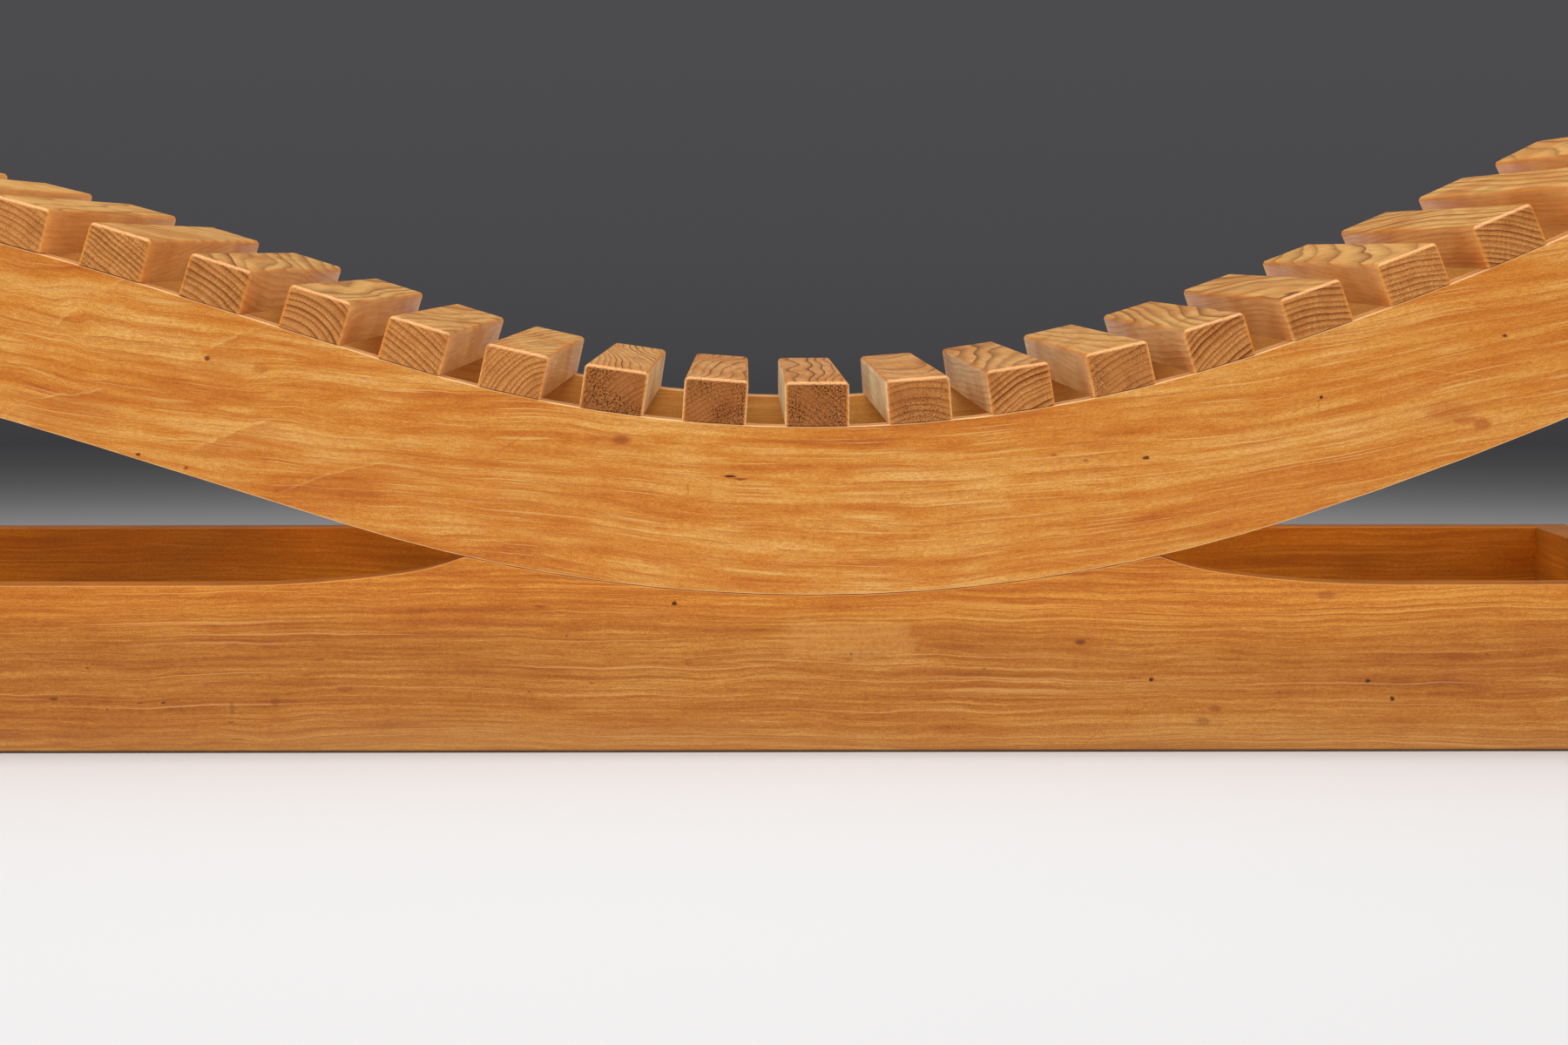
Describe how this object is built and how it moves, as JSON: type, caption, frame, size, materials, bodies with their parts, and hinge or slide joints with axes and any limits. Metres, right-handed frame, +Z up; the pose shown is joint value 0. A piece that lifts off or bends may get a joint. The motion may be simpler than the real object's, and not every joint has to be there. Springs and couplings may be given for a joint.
{
  "type": "slatted lounge chair",
  "caption": "Low wooden chaise: wave-shaped side rails carry cross slats, and their curved belly lies in the saddle of a flat base frame, where the seat tilts.",
  "frame": {"origin": "on the floor, under the middle of the whole chair", "axes": "+Z up, +X towards the head end, -Y on the sitter's left"},
  "size_m": [1.9698, 0.6, 0.5993],
  "materials": {
    "seat_rail_pine": "satin clear lacquer over amber pine, flowing grain",
    "slat_pine": "satin clear lacquer over amber pine, browner end grain",
    "base_pine": "satin clear lacquer over amber pine, straight grain",
    "guide_pine": "planed pine, thin lacquer",
    "dowel_beech": "bare turned beech",
    "screw_steel": "zinc-plated steel"
  },
  "bodies": {
    "base": {"base_rail_left": "base_pine", "base_rail_right": "base_pine", "base_end_head": "base_pine", "base_end_foot": "base_pine", "base_dowels": "dowel_beech", "saddle_guide_left": "guide_pine", "saddle_guide_right": "guide_pine", "guide_screws": "screw_steel"},
    "seat": {"slat_01": "slat_pine", "slat_02": "slat_pine", "slat_03": "slat_pine", "slat_04": "slat_pine", "slat_05": "slat_pine", "slat_06": "slat_pine", "slat_07": "slat_pine", "slat_08": "slat_pine", "slat_09": "slat_pine", "slat_10": "slat_pine", "slat_11": "slat_pine", "slat_12": "slat_pine", "slat_13": "slat_pine", "slat_14": "slat_pine", "slat_15": "slat_pine", "slat_16": "slat_pine", "slat_17": "slat_pine", "slat_18": "slat_pine", "slat_19": "slat_pine", "slat_20": "slat_pine", "slat_21": "slat_pine", "slat_22": "slat_pine", "slat_23": "slat_pine", "slat_24": "slat_pine", "slat_25": "slat_pine", "slat_26": "slat_pine", "slat_27": "slat_pine", "seat_rail_left": "seat_rail_pine", "seat_rail_right": "seat_rail_pine", "slat_dowels_left": "dowel_beech", "slat_dowels_right": "dowel_beech"}
  },
  "joints": [
    {"name": "seat_tilt", "type": "hinge", "parent": "base", "child": "seat", "pos_m": [-0.0026, 0, 1.2281], "axis": [0, 1, 0], "range_deg": [-4.2, 4.7]}
  ]
}
